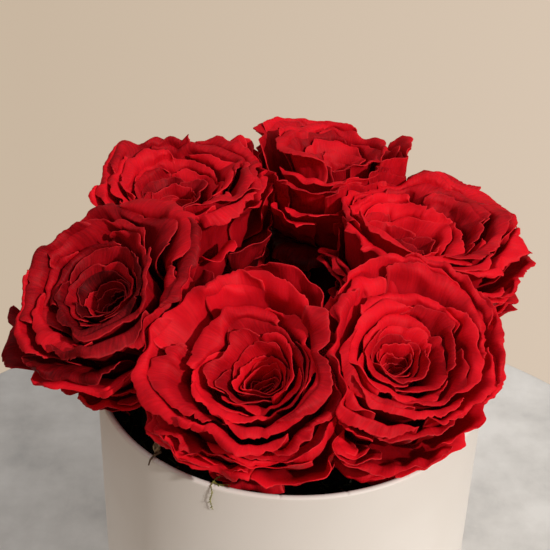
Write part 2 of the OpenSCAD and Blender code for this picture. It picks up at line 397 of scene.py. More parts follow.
def cover_profile():
    """Radius and height along the paper, from under the base over the rim to the inside."""
    half = WALL_T / 2
    foot = [(BOX_R - TURN_UNDER, FOOT_Z), (BOX_R - 2 * FOOT_ROUND, FOOT_Z)]
    corner = [(BOX_R - FOOT_ROUND + FOOT_ROUND * math.sin(a), FOOT_Z + FOOT_ROUND - FOOT_ROUND * math.cos(a))
              for a in np.linspace(0, math.pi / 2, 6)]
    face = [(BOX_R, z) for z in np.linspace(4, BOX_H - half - 0.4, 26)]
    crown = [(BOX_R - half + half * math.cos(a), BOX_H - half + half * math.sin(a))
             for a in np.linspace(0, math.pi, 15)]
    inside = [(BOX_R - WALL_T, z) for z in np.linspace(BOX_H - half - 1, BOX_H - TURN_IN, 6)]
    return np.array(foot + corner + face + crown + inside)


line = cover_profile()
grid = (COVER_AROUND, len(line) - 1)
u, t = unit_grid(grid)
around = math.pi * u
radius, height = (np.repeat(line[:, axis:axis + 1], COVER_AROUND + 1, 1) for axis in (0, 1))
between = np.abs((np.degrees(around) - SLIT_BEARING) / (360 / SLITS) % 1 - 0.5)
nick = np.clip((between - 0.5 + NICK_HALF) / NICK_HALF, 0, 1) * NICK
on_rim = (height > BOX_H - WALL_T) & (radius < BOX_R - 0.15 * WALL_T)
height = height - np.where(on_rim, nick, 0)
soft = 0.05 * np.sin(3 * around + height / 17) + 0.03 * np.sin(11 * around - height / 9)
radius = radius + np.where(height > 3, soft - 0.08, 0) * (radius > BOX_R - 0.1)
piece("box_wrap", "box", cover, [sheet(grid, round_points(radius, height, around))], weld=True)
print("paper runs", round(float(np.hypot(*np.diff(line, axis=0).T).sum())), "mm from base to inside")

# %% [markdown]
# ## Where the heads are
# Each head sits on the receptacle at the top of its stem and leans outwards.
# The first sizes of a rose repeat those of the construction, because the
# frame holds finished meshes and no numbers. The others are its habit. A
# flower is never regular, so each head also has some petals of its own.

# %% Roses
CROWN_H = 36


class Rose:
    """Place and habit of one rose."""

    # A head's tone sets how light it is and also paints light and shade on the whole head.
    def __init__(self, name, inset, bearing, rise, lean, lean_to, size,  # as constructed
                 heart, turn, seed,  # the middle of its whorl, its first bearing, its accidents
                 tone, crumple, pace,  # how light and how creased it is, how fast its habit changes
                 opens,  # how wide it is open, at eight bearings round its own axis
                 own):  # its own petals
        self.name, self.size, self.turn, self.seed, self.own = name, size, turn, seed, own
        self.tone, self.crumple, self.pace, self.opens = tone, crumple, pace, opens
        self.heart = np.array(heart)
        crown = Vector(heading(math.radians(bearing))) * (BOX_R - inset)
        crown.z = BOX_H + rise
        tip = rotation(lean_to, "Z", 3) @ rotation(lean, "Y", 3)
        self.receptacle = crown - tip @ Vector((0, 0, 1)) * CROWN_H * size
        self.waist = (crown + self.receptacle) / 2
        self.spin = tip @ rotation(-lean_to, "Z", 3)


def one(*values, **more):
    """A petal of a head's own. More can say from and up to which number typical petals give way
    to it (hides), how far along it begins to roll (roll_start) and how light it is (tone). The
    tone paints light on petals that would lie in shadow and shade on others, most of all on
    those hanging deep in the middle."""
    names = ("number", "at", "width", "radius", "height", "flare", "roll", "side_rolls", "ruffle",
             "side_start")
    return {**dict(zip(names, values)), **more}


# The tone of an own petal is painted light where it is above zero and painted shade where it is below.
ROSES = [
    Rose("rose_front_left", 18, -107, 34, 28, -112, 0.98,
         heart=(8, 1.5), turn=20, seed=11, tone=0.54, crumple=1.0, pace=0.95,
         opens=(1.05, 1.06, 1.0, 0.97, 0.98, 0.79, 0.86, 1.06), own=[
        one(20.5, 196, 92, 31, 45.5, 11, 40, (20, 30), 0.9),
        one(24.5, -62, 76, 36, 38, 9, 40, (30, 50), 1.2),
        one(22.5, 188, 110, 37, 46, 15, 50, (10, 25), 0.5, hides=(17, 30)),
        one(22.2, 118, 84, 36.5, 47, 14, 40, (20, 110), 0.8, hides=(19, 30)),
        one(22.1, 75, 80, 36, 47, 13, 40, (30, 20), 0.8, hides=(19, 30)),
        one(27.5, 60, 62, 40, 46, 2, 10, (10, 10), 1.0),
        one(29.6, -52, 60, 42, 28, 7, -10, (130, 140), 0.8, 0.08, tone=0.25),
        one(25.4, -90, 58, 37, 38, 10, 40, (130, 20), 1.8, 0.15, tone=0.15),
        one(26.4, -140, 56, 38, 37, 8, 40, (20, 120), 2.0, 0.15),
        one(26, -25, 80, 37, 40, 3, 20, (140, 20), 1.2),
        one(27, -85, 66, 35.5, 37, 4, 30, (20, 60), 3.2),
        one(27.2, -118, 66, 37, 34, 5, 30, (60, 20), 3.4),
        one(27.3, 212, 70, 38, 35, 3, 10, (20, 10), 2.2),
    ]),
    Rose("rose_front_right", 12, -50, 37, 25, -68, 0.96,
         heart=(-4, 4), turn=75, seed=23, tone=0.55, crumple=1.0, pace=0.9,
         opens=(0.83, 0.95, 1.04, 1.03, 1.06, 1.1, 0.93, 0.83), own=[
        one(23.4, -90, 92, 34, 42, 10, 40, (30, 60), 1.3),
        one(25.5, -148, 76, 35, 40, 9, 40, (30, 50), 1.2),
        one(21.6, 144, 68, 32, 46, 10, 60, (90, 110), 1.6, 0.1),
        one(21.7, 72, 72, 33, 46.5, 10, 50, (60, 30), 1.5),
        one(23.6, 106, 84, 37, 47, 12, 40, (20, 30), 1.5, hides=(20, 30)),
        one(27.6, 66, 66, 39, 48, 10, 30, (30, 100), 1.5, 0.15, hides=(24, 30)),
        one(27.8, 18, 70, 38, 46, 3, 60, (120, 20), 1.3, 0.1),
        one(29.5, -150, 60, 38, 31, 6, 30, (120, 60), 1.6, 0.1),
        one(33.4, -128, 56, 36, 29, 3, 20, (110, 90), 1.2, 0.05),
        one(33.5, -86, 84, 37, 20, 5, 35, (30, 20), 0.7, hides=(29, 40)),
    ]),
    Rose("rose_right", 15.5, 28, 42.5, 8, -10, 1.02,
         heart=(-16.5, -11), turn=10, seed=31, tone=0.5, crumple=1.3, pace=0.85,
         opens=(1.0, 1.11, 0.95, 1.0, 1.1, 1.14, 1.08, 1.01), own=[
        one(30.4, -30, 72, 36.5, 34, 8, 60, (40, 20), 1.4),
        one(32.4, -14, 76, 34, 27, 6, 50, (30, 40), 1.5),
        one(33.6, -40, 72, 35, 19, 6, 50, (30, 30), 1.4),
        one(29.1, -75, 84, 38, 34, 6, 70, (60, 90), 1.6, 0.1),
        one(29.2, -118, 80, 39, 31, 5, 60, (90, 30), 1.8, 0.1),
        one(29.3, -152, 80, 39, 28, 5, 60, (60, 80), 3.2, 0.1),
    ]),
    Rose("rose_back_middle", 13, 75.5, 56.5, 6, 80, 0.87,
         heart=(0, -3), turn=50, seed=42, tone=0.5, crumple=1.0, pace=0.9,
         opens=(0.95, 0.93, 0.96, 1.05, 1.1, 1.12, 1.0, 1.0), own=[
        one(19.5, -110, 104, 31, 40, 10, 60, (20, 40), 0.9, hides=(13, 23)),
        one(20.5, -48, 96, 33, 39, 10, 60, (20, 40), 0.9, hides=(13, 23)),
        one(27.05, -18, 76, 36, 41, 9, 50, (30, 60), 1.2, tone=-0.2),
        one(27.1, 155, 80, 38, 48, 8, 15, (100, 80), 0.8, 0.05, hides=(23, 34)),
        one(27.2, 118, 82, 36, 47, 8, 10, (90, 90), 0.8, 0.05, hides=(23, 34)),
        one(27.3, 52, 80, 33, 40, 9, 15, (90, 90), 0.8, 0.05, hides=(23, 34)),
        one(27.4, 0, 70, 39.5, 45, 8, 20, (100, 90), 0.8, 0.05, hides=(23, 34)),
        one(27.5, -112, 96, 37.5, 38, 8, 60, (20, 30), 1.0, hides=(22, 34)),
        one(28.5, -55, 92, 38, 35.5, 8, 60, (20, 50), 1.0, hides=(22, 34)),
        one(28.6, -165, 70, 39, 40, 5, 30, (20, 90), 1.2, 0.1),
        one(29.5, 172, 80, 44, 30, 8, 20, (40, 40), 1.4),
        one(34.1, -135, 86, 34, -2, 3, 20, (60, 80), 1.8, 0.1, hides=(30, 43), tone=-0.5),
        one(30.8, -90, 70, 44, 29, 16, 20, (110, 120), 1.6, 0.05, tone=0.9),
        one(31.8, -132, 60, 44, 24, 15, 20, (110, 110), 1.6, 0.05, tone=0.9),
        one(31.9, -58, 60, 41, 22, 14, 20, (80, 90), 1.6, 0.05, tone=0.7),
        one(34.3, -45, 80, 33, -4, 3, 20, (60, 70), 1.8, 0.1, hides=(30, 43), tone=-0.5),
        one(35.4, -92, 92, 24, -29, -2, 0, (20, 20), 1.4, tone=-0.8),
        one(35.5, 202, 100, 31, -30, -2, 0, (20, 20), 1.2, tone=-0.8),
        one(35.6, 145, 90, 33, -27, -2, 0, (20, 20), 1.2, tone=-0.8),
    ]),
    Rose("rose_back_left", 17, 141, 51.5, 8, -120, 0.95,
         heart=(-4, -1), turn=5, seed=57, tone=0.45, crumple=1.6, pace=0.85,
         opens=(1.02, 1.14, 0.94, 1.22, 0.91, 0.95, 0.97, 0.92), own=[
        one(29.5, 38, 80, 43, 36, 10, 30, (30, 60), 1.6),
        one(31.5, -8, 80, 38, 24, 4, 20, (40, 30), 1.6, tone=-0.3),
        one(30.5, -72, 64, 38, 31, 5, 10, (110, 120), 1.2, 0.1, hides=(28, 40), tone=0.35),
        one(31.2, -106, 60, 38, 28, 5, 10, (110, 100), 1.4, 0.1, hides=(28, 40), tone=0.3),
        one(35.2, -62, 130, 27, 5, -1, 0, (10, 10), 1.0, hides=(32, 44), tone=-1.0),
        one(34.6, 10, 100, 36, -6, -2, 0, (20, 20), 1.2, tone=-0.8),
    ]),
    # The left head's low tone is painted shade, for the shade that its neighbours cast on it.
    Rose("rose_left", 4, -165, 38.5, 30, -135, 0.98,
         heart=(1, 3), turn=33, seed=68, tone=0.15, crumple=1.1, pace=0.9,
         opens=(1.0, 1.05, 1.10, 0.97, 0.80, 0.94, 0.95, 1.0), own=[
        one(30.2, -72, 80, 39, 34, 12, 40, (30, 60), 1.6, tone=0.5),
        one(31.4, -38, 70, 42, 30, 12, 40, (60, 20), 1.6, tone=0.5),
        one(30.4, -104, 76, 38, 34, 10, 40, (30, 60), 1.6, tone=0.3),
        one(28.2, 38, 62, 41, 46, 10, 95, (20, 40), 1.6, 0.2, hides=(22, 34), roll_start=0.45),
        one(28.6, 4, 58, 41, 44, 10, 100, (30, 20), 1.8, 0.2, hides=(22, 34), roll_start=0.45),
        one(29.2, -26, 56, 41.5, 40, 9, 90, (40, 30), 1.6, 0.2, roll_start=0.5),
        one(31.6, -171, 42, 51, 34, 10, 70, (120, 40), 1.4, 0.15),
        one(33.4, -50, 76, 43, 24, 12, 40, (60, 30), 1.6, 0.1, tone=0.6),
        one(34.4, -84, 72, 37, 21, 6, 50, (30, 80), 1.2, 0.1, tone=0.6),
    ]),
]
for rose in ROSES:
    print(rose.name, "receptacle at", [round(value, 1) for value in rose.receptacle])

# %% [markdown]
# ## A petal
# A petal starts as a flat grid. Its rows run from the foot to the tip along a
# cubic curve whose end is rolled outwards, and its columns run round the
# head. The free edge is cut back at the corners, waved, nicked and now and
# then torn, which is what tells a petal from a spoon.

# %% Curves for petals
PROFILE_STEPS = 60
STANDS_ABOVE = 15  # a petal whose tip is lower than this hangs


def crease(x):
    """A wave whose crests are folds rather than curves."""
    return 0.35 * np.sin(x) + 0.42 * np.arcsin(np.sin(x))


def waves(rng, low, high, count=3):
    """A random curve about zero, made of a few waves with sharp crests."""
    terms = [(rng.uniform(low, high), rng.uniform(0, math.tau)) for _ in range(count)]
    return lambda x: sum(crease(pitch * x + start) for pitch, start in terms) / count


def ease(x):
    """A soft step from 0 to 1."""
    x = np.clip(x, 0, 1)
    return x * x * (3 - 2 * x)


def profile(corners, roll, roll_start):
    """Radius and height along a petal, from foot to tip, with its end rolled outwards."""
    t = np.linspace(0, 1, PROFILE_STEPS)[:, None]
    c = np.array(corners, float)
    slope = 3 * (1 - t) ** 2 * (c[1] - c[0]) + 6 * t * (1 - t) * (c[2] - c[1]) + 3 * t * t * (c[3] - c[2])
    bend = math.radians(roll) * np.clip((t[:, 0] - roll_start) / (1 - roll_start), 0, 1) ** 1.5
    angle = np.arctan2(slope[:, 1], slope[:, 0]) - bend
    step = np.hypot(slope[:, 0], slope[:, 1]) / (PROFILE_STEPS - 1)
    radius = c[0, 0] + np.concatenate([[0], np.cumsum(step * np.cos(angle))[:-1]])
    height = c[0, 1] + np.concatenate([[0], np.cumsum(step * np.sin(angle))[:-1]])
    widen = (c[3, 0] - c[0, 0]) / (radius.max() - c[0, 0])
    raise_by = (c[3, 1] - c[0, 1]) / (height.max() - c[0, 1]) if c[3, 1] > STANDS_ABOVE else 1
    return t[:, 0], c[0, 0] + (radius - c[0, 0]) * widen, c[0, 1] + (height - c[0, 1]) * raise_by


# %% [markdown]
# ## From the bud to the hanging petals
# A rose lays its petals one after the other, each 137.5 degrees round from
# the last, which is why no two lie exactly over each other. The habit of a
# petal changes slowly with its number, so a short table says what the petals
# are like at a few stages and every petal in between is read off it.

# %% Habit of the petals
STAGES = {  # number of the petal, then its habit at that stage, on a head of size 1
    "number": (0, 3, 6, 9, 13, 18, 23, 27, 30, 33, 37, 42),
    "radius": (1.8, 3.7, 6.0, 9.0, 14.8, 23.2, 31.0, 35.6, 36.5, 36.0, 33.0, 28.0),
    "height": (24.5, 27.5, 32.0, 36.2, 41.0, 44.5, 46.5, 45.0, 37.0, 24.0, 9.0, -8.0),
    "width": (300, 260, 210, 180, 152, 124, 104, 88, 80, 76, 74, 72),
    "flare": (-0.4, -0.2, 0.3, 1.6, 5.0, 9.5, 13.0, 14.0, 11.0, 6.0, 1.0, 0.0),
    "lift": (0.8, 0.8, 0.8, 0.83, 0.88, 0.92, 0.94, 0.94, 0.9, 0.85, 0.8, 0.8),
    "roll": (0, 6, 18, 32, 36, 36, 40, 50, 52, 50, 35, 20),
    "side_roll": (0, 2, 6, 10, 16, 24, 36, 48, 48, 44, 40, 30),
    "ruffle": (0.1, 0.2, 0.4, 0.65, 0.9, 1.1, 1.4, 1.7, 2.0, 2.0, 1.8, 1.6),
    "uneven": (0.4, 0.7, 1.0, 1.3, 1.6, 1.9, 2.1, 2.2, 2.5, 2.5, 2.5, 2.5),
}
VARY = {"width": 0.12, "flare": 0.3, "roll": 0.5, "ruffle": 0.5}  # either way, as a share
PETALS = 43
GOLDEN_ANGLE = 137.5
# first petal of each part, and the grid it is made from
PARTS = [("heart", 0, (44, 14)), ("inner_petals", 7, (46, 18)),
         ("middle_petals", 13, (52, 22)), ("outer_petals", 20, (52, 24))]
HEAD_R = 37.5
PETAL_T = 0.34
PETAL_GAP = 0.3
POINTED, POINTED_FROM = 0.4, 10  # share of the petals pinched to a point, and the first of them
SIDE_START, POINTED_START = 0.4, 0.05


def habit(number):
    """What a petal of this number is typically like."""
    return {key: float(np.interp(number, STAGES["number"], row)) for key, row in STAGES.items()}


print("a head has about", PETALS, "petals in", len(PARTS), "parts")

# %% One petal
class Petal:
    """The habit of one petal: where it stands on its head and how it curls."""

    def __init__(self, number, turn, rng, own):
        typical = habit(number)

        def vary(key):
            return own.get(key, typical[key] * (1 + rng.uniform(-VARY[key], VARY[key])))

        self.number, self.turn, self.rng = number, turn, rng
        self.radius = own.get("radius", typical["radius"] + rng.uniform(-0.5, 0.5) * typical["ruffle"])
        self.height = own.get("height", typical["height"] + rng.uniform(-1, 1) * typical["uneven"])
        self.width, self.lift = vary("width"), typical["lift"]
        self.flare, self.roll = vary("flare"), vary("roll")
        self.side_rolls = own.get("side_rolls", [typical["side_roll"] * rng.uniform(0, 2) for _ in range(2)])
        self.ruffle = vary("ruffle")
        self.roll_start = own.get("roll_start", rng.uniform(0.66, 0.8))
        self.skew = rng.uniform(-5, 5)
        self.corner = rng.uniform(0.14, 0.24)
        self.spiral = 0.5 + 0.3 * typical["ruffle"]
        self.side_start = own.get("side_start", SIDE_START)
        if not own and number >= POINTED_FROM and rng.random() < POINTED:
            self.side_start = POINTED_START
            self.side_rolls = [rng.uniform(50, 110) for _ in range(2)]
        self.tuck_at, self.tuck = rng.uniform(-0.7, 0.7), rng.choice((-1, 0, 1, 1.5)) * typical["ruffle"]

    def corners(self):
        """The four points that steer the profile: radius and height, from foot to tip."""
        foot_r = 0.5 + 8 * self.radius / HEAD_R
        return [
            (foot_r, 6.6 - foot_r * 0.8),
            (foot_r + 0.62 * (self.radius - foot_r), 10 - 0.1 * self.radius),
            (self.radius - self.flare, self.height * self.lift if self.height > STANDS_ABOVE else 8),
            (self.radius, self.height),
        ]

    def place(self, u, t):
        """Points of the petal in its head's own frame, for u across and t along a flat grid."""
        rng = self.rng
        serration, nicks = waves(rng, 40, 80), waves(rng, 12, 26)
        ripple, billow, pleat = waves(rng, 3, 7), waves(rng, 1.5, 3.5), waves(rng, 8, 18)
        tear_at, tear_depth = rng.uniform(-0.8, 0.8), max(0, rng.uniform(-0.1, 0.08))
        tear = tear_depth * np.clip(1 - np.abs(u - tear_at) / 0.05, 0, 1)
        knots = np.linspace(-1, 1, 21)
        jagged = np.interp(u, knots, [rng.uniform(-0.025, 0.025) for _ in knots])
        outline = (1 - self.corner * np.abs(u) ** 3.2 + 0.012 * serration(u) + 0.01 * nicks(u)
                   + jagged + 0.02 * ripple(u) - tear)
        along = (1 - (1 - t) ** 1.4) * outline
        within = np.clip(along, 0, 1)

        def side_view(roll):
            steps, out, up = profile(self.corners(), roll, self.roll_start)
            return np.array([np.interp(along, steps, out), np.interp(along, steps, up)])

        rolled = flat = side_view(self.roll)
        side = np.clip((np.abs(u) - self.side_start) / (1 - self.side_start), 0, 1) ** 1.7
        for sign, side_roll in zip((-1, 1), self.side_rolls):
            rolled = rolled + np.where(u * sign > 0, side, 0) * (side_view(self.roll + side_roll) - flat)
        radius, height = rolled
        free = within ** 4
        radius += free * self.ruffle * (ripple(u * 1.3) + 0.25 * pleat(u))
        radius -= within ** 3 * self.tuck * np.clip(1 - np.abs(u - self.tuck_at) / 0.16, 0, 1)
        radius += self.spiral * u * within + 0.5 * self.ruffle * billow(u + along) * along
        height += free * self.ruffle * (0.6 * billow(2 * u) + 0.2 * pleat(u + 1))
        if self.number == 0:  # the first petal is folded into an S
            reach = self.radius / STAGES["radius"][0]
            return np.stack([2.9 * reach * np.sin(2.3 * u), 2.7 * reach * u + 0 * along, height], -1)
        half = math.radians(self.width / 2) * (0.30 + 0.70 * np.sin(np.clip(along / 0.7, 0, 1) * math.pi / 2))
        angle = math.radians(self.turn) + half * u + math.radians(self.skew) * along
        return round_points(radius, height, angle)


# %% [markdown]
# ## Keeping petals apart
# Petals press on each other without passing through. A real head is wrapped
# from its heart outwards, so the script does the same. A map holds, for every
# direction out of the head, how far the petals placed so far reach, and the
# next petal is eased outwards until it lies over them: away from the axis
# while it stands, and from a centre inside the bowl once it lies open.

# %% A map of what is already wrapped
class Girth:
    """How far out the petals placed so far reach, in every direction."""

    AROUND, ALONG = 180, 64  # an upright map has one row for each mm
    MOST_PUSH, SMOOTHINGS = 5, 6

    def __init__(self, centre_z=None):
        self.centre_z = centre_z
        self.reach = np.zeros((self.AROUND, self.ALONG))

    def measure(self, points):
        x, y, row = (points[..., axis] for axis in range(3))
        around, out = np.arctan2(y, x) / math.tau % 1 * self.AROUND, np.hypot(x, y)
        if self.centre_z is not None:
            up = row - self.centre_z
            row, out = np.arctan2(out, up) / math.pi * self.ALONG, np.hypot(out, up)
        return around, np.clip(row, 0, self.ALONG - 1.001), out

    def add(self, grid):
        for axis in (0, 1):  # points halfway between as well, so that no cell is missed
            last = grid.shape[axis] - 1
            middle = (np.take(grid, range(last), axis) + np.take(grid, range(1, last + 1), axis)) / 2
            grid = np.concatenate([grid, middle], axis)
        around, along, out = self.measure(grid)
        np.maximum.at(self.reach, (around.astype(int) % self.AROUND, along.astype(int)), out)

    def push(self, grid, gap):
        """Moves a petal's points outwards until they clear the map by the gap."""
        around, along, out = self.measure(grid)
        a, b = around.astype(int), along.astype(int)
        need = np.max([self.reach[(a + da) % self.AROUND, np.clip(b + db, 0, self.ALONG - 1)]
                       for da in (-1, 0, 1) for db in (-1, 0, 1)], axis=0)
        short = np.clip(np.where(need > 0, need + gap - out, 0), 0, self.MOST_PUSH)
        eased = short
        for _ in range(self.SMOOTHINGS):
            padded = np.pad(eased, 1, mode="edge")
            rows, columns = eased.shape
            blur = sum(padded[i:i + rows, j:j + columns] for i in range(3) for j in range(3)) / 9
            eased = np.maximum(short * 0.9, blur)
        if self.centre_z is None:
            scale = 1 + eased / np.maximum(out, 0.5)
            return np.stack([grid[..., 0] * scale, grid[..., 1] * scale, grid[..., 2]], -1)
        centre = np.array([0, 0, self.centre_z])
        return centre + (grid - centre) * (1 + eased / out)[..., None]


# %% A head wrapped from its heart
FINE_CRUMPLE, COARSE_CRUMPLE = (0.85, 8.5), (3.0, 27)  # amount and wave length
BOWL_CENTRE, BOWL_FROM = 14, 20  # height of the centre, and radius from which petals lie on the bowl
TURN_VARY = 8
CLEARED = 0.36  # share of an own petal's width within which typical petals give way


def petal_plan(rose):
    """Number, direction and own habit of every petal of a head, from the bud outwards."""
    plan = [(own["number"], own["at"], own) for own in rose.own]
    for k in range(int(PETALS / rose.pace)):
        number, turn = k * rose.pace, rose.turn + k * GOLDEN_ANGLE
        gives_way = any(int(number) in range(*own.get("hides", (0, 0)))
                        and abs((turn - own["at"] + 180) % 360 - 180) < CLEARED * own["width"]
                        for own in rose.own)
        if not gives_way:
            plan.append((number, turn, {}))
    return sorted(plan, key=lambda row: row[0])


class Crumple:
    """A field that folds and shifts a whole head a little, differently from place to place."""

    def __init__(self, rng, amount, length, count=6):
        def direction():
            return Vector([rng.gauss(0, 1) for _ in range(3)]).normalized()

        self.amount = amount / math.sqrt(count)
        self.waves = [(direction() * (math.tau / length / rng.uniform(0.8, 1.3)), direction(),
                       rng.uniform(0, math.tau)) for _ in range(count)]

    def shift(self, points):
        return sum(crease(points @ np.array(pitch) + start)[..., None] * np.array(way)
                   for pitch, way, start in self.waves) * self.amount


def wrap_head(rose):
    """All petals of a head, as (part, grid size, points in the head's frame, own painted light and shade)."""
    rng = random.Random(rose.seed)
    upright, open_bowl = Girth(), Girth(BOWL_CENTRE)
    fine, coarse = Crumple(rng, *FINE_CRUMPLE), Crumple(rng, *COARSE_CRUMPLE)
    petals = []
    for number, turn, own in petal_plan(rose):
        part, _, grid = [row for row in PARTS if row[1] <= number][-1]
        petal = Petal(number, turn + (0 if own else rng.uniform(-TURN_VARY, TURN_VARY)), rng, own)
        room = upright if petal.radius < BOWL_FROM else open_bowl
        points = room.push(petal.place(*unit_grid(grid)), PETAL_T + PETAL_GAP)
        upright.add(points)
        open_bowl.add(points)
        points = points + rose.crumple * fine.shift(points) + coarse.shift(points)
        petals.append((part, grid, points, own.get("tone", 0)))
    return petals


# %% [markdown]
# ## Settling a head among its neighbours
# Six large heads share one box, so no head stays round. The petals of two
# neighbours flatten against each other along an upright plane, which also
# lets one rose be lifted out past the next. Over the rim they rest on it.

# %% Settle
NEIGHBOUR_SOFT, NEIGHBOUR_GAP = 1.5, 0.4
MEET_WAVE, MEET_PITCHES = 2.0, (0.3, 0.74)
RIM_SOFT, RIM_CLEAR, RIM_SLOPE = 1.5, 1.0, 3


def softly(x, softness):
    """x where it is above zero and zero where it is below, with a rounded bend."""
    return softness * np.logaddexp(0, x / softness)


def settle(points, rose):
    """Points of a head moved from its own frame to their place in the box, in mm."""
    shape = points.shape
    points = points.reshape(-1, 3).copy()
    spread = ease(np.hypot(points[:, 0], points[:, 1]) / HEAD_R)
    around = np.arctan2(points[:, 1], points[:, 0]) / math.tau % 1 * len(rose.opens)
    opens = np.interp(around, range(len(rose.opens) + 1), [*rose.opens, rose.opens[0]])
    points[:, :2] *= (1 + (opens - 1) * spread)[:, None]
    points[:, :2] += rose.heart * ((1 - spread) * ease(points[:, 2] / CROWN_H))[:, None]
    placed = points * rose.size @ np.array(rose.spin).T + np.array(rose.receptacle)
    for step in (-1, 1):
        other = ROSES[(ROSES.index(rose) + step) % len(ROSES)]
        away = np.array(other.waist - rose.waist)[:2]
        distance = np.hypot(*away)
        away = away / distance
        meet = np.array(rose.waist)[:2] + away * distance * rose.size / (rose.size + other.size)
        along = step * (placed[:, :2] - meet) @ np.array([-away[1], away[0]])
        wave = np.sin(along * MEET_PITCHES[0] + meet[0]) + 0.5 * np.sin(along * MEET_PITCHES[1] + meet[1])
        past = (placed[:, :2] - meet) @ away + NEIGHBOUR_GAP + step * MEET_WAVE * wave
        placed[:, :2] += (-softly(-past, NEIGHBOUR_SOFT) - past)[:, None] * away
    out = np.hypot(placed[:, 0], placed[:, 1])
    rest = BOX_H + RIM_CLEAR - np.clip(LINING_R - RIM_CLEAR - out, 0, None) * RIM_SLOPE
    placed[:, 2] += softly(rest - placed[:, 2], RIM_SOFT)
    return placed.reshape(shape)


# %% Petal finish
velvet = Finish("petal_red", 0.08, Roughness=0.58, Subsurface_Weight=0.15,
                Subsurface_Radius=(1.0, 0.05, 0.03), Subsurface_Scale=0.0008)
across, along, _ = velvet.split(velvet.place(source="UV"))
veins = velvet.noise(1.0, 2, stretch=(70, 4, 1), source="UV")
mottle = velvet.noise(140, 4)
fleck = velvet.noise(900, 2)
# the tone attribute brings painted light and shade of head, part and petal with the petals' random tone;
# veins and mottle are their own markings
light = velvet.attribute("tone") + (veins - 0.5) * 0.5 + (mottle - 0.5) * 0.6
# painted highlight together with the petals' own paler edges: tips and side edges are mixed towards a pale
# pink
edge = velvet.band(along, 0.93, 0.995) + velvet.band(abs(across - 0.5), 0.47, 0.5)
red = velvet.mix(velvet.band(light, -0.5, 1.0), (0.03, 0.0001, 0.0006), (0.845, 0.0068, 0.018))
# painted shade: each petal darkens towards its foot, where shade gathers between the petals
red = velvet.mix(velvet.band(along, 0.25, 0.85, 0.35, 1.0), (0.13, 0.0003, 0.001), red)
velvet.colour(velvet.mix(edge * 0.3, red, (0.90, 0.04, 0.05)))
velvet.bump(veins * 0.45 + mottle * 0.35 + fleck * 0.25, 0.3, 0.55)

# %% All heads
# painted shade: the heart and inner petals are darkened for the shade that gathers deep between them
PART_PAINTED_SHADE = {"heart": -0.22, "inner_petals": -0.12}  # the tight middle stays darker
TONE_VARY = 0.33


def petal_sheets(rose, petals):
    rng = random.Random(rose.seed * 7 + len(petals))
    for part, grid, points, own_painted_light_and_shade in petals:
        # The head's tone, the part's darkening and a petal's own tone carry painted light and shade; the
        # random part is the petals' own varying tone.
        tone = rose.tone + own_painted_light_and_shade + PART_PAINTED_SHADE.get(part, 0) + rng.uniform(-TONE_VARY, TONE_VARY)
        yield sheet(grid, settle(points, rose), tone)


for rose in ROSES:
    head = wrap_head(rose)
    for part, *_ in PARTS:
        petals = [petal for petal in head if petal[0] == part]
        piece(f"{rose.name}_{part}", rose.name, velvet,
              petal_sheets(rose, petals), thickness=PETAL_T)
    print(rose.name, "has", len(head), "petals")

# %% [markdown]
# ## Stems and calyxes
# Under each head five sepals spread from a green cup, and a stem runs from
# the cup straight down into the foam. They show when a rose is lifted out.
# The stem keeps the round section that its hole needs, with a few thorns.

# %% Greens
calyx = Finish("calyx_green", 0.3)
skin = calyx.noise(420, 4)
calyx.shade(skin, (0.35, (0.035, 0.060, 0.018)), (0.65, (0.085, 0.130, 0.040)))
calyx.rough(skin, 0.5, 0.75)
calyx.bump(skin, 0.25, 0.5)

stem = Finish("stem_green", 0.3)
streaks = stem.noise(900, stretch=(1, 1, 0.12))
patchy = stem.noise(60, 2)
stem.shade(streaks * 0.5 + patchy * 0.5, (0.35, (0.050, 0.065, 0.022)), (0.65, (0.115, 0.130, 0.048)))
stem.rough(streaks, 0.5, 0.7)
stem.bump(streaks, 0.12, 0.5)


# %% Tubes along a path
def tube(path, radii, sides):
    """Rings of points round a path, for a sheet of sides by len(path) - 1 faces."""
    path = np.array(path, float)
    along = np.gradient(path, axis=0)
    along /= np.linalg.norm(along, axis=1)[:, None]
    aside = np.cross(along, (0.31, 0.93, 0.21))  # any direction that no path runs in
    aside /= np.linalg.norm(aside, axis=1)[:, None]
    around = np.linspace(0, math.tau, sides + 1)[None, :, None]
    ring = np.cos(around) * aside[:, None] + np.sin(around) * np.cross(along, aside)[:, None]
    return path[:, None] + ring * np.array(radii)[:, None, None]


def curve(points, steps):
    """A smooth path through a few points."""
    points = np.array(points, float)
    knots = np.concatenate([[0], np.cumsum(np.linalg.norm(np.diff(points, axis=0), axis=1))])
    slopes = np.gradient(points, knots, axis=0)
    place = np.linspace(0, knots[-1], steps + 1)
    k = np.minimum(np.searchsorted(knots, place, "right") - 1, len(points) - 2)
    h = (knots[k + 1] - knots[k])[:, None]
    s = (place - knots[k])[:, None] / h
    return ((1 + 2 * s) * (1 - s) ** 2 * points[k] + s * (1 - s) ** 2 * h * slopes[k]
            + s * s * (3 - 2 * s) * points[k + 1] + s * s * (s - 1) * h * slopes[k + 1])


# %% Stems
STEM_GRID, THORN_GRID, THORNS = (24, 60), (8, 4), 4


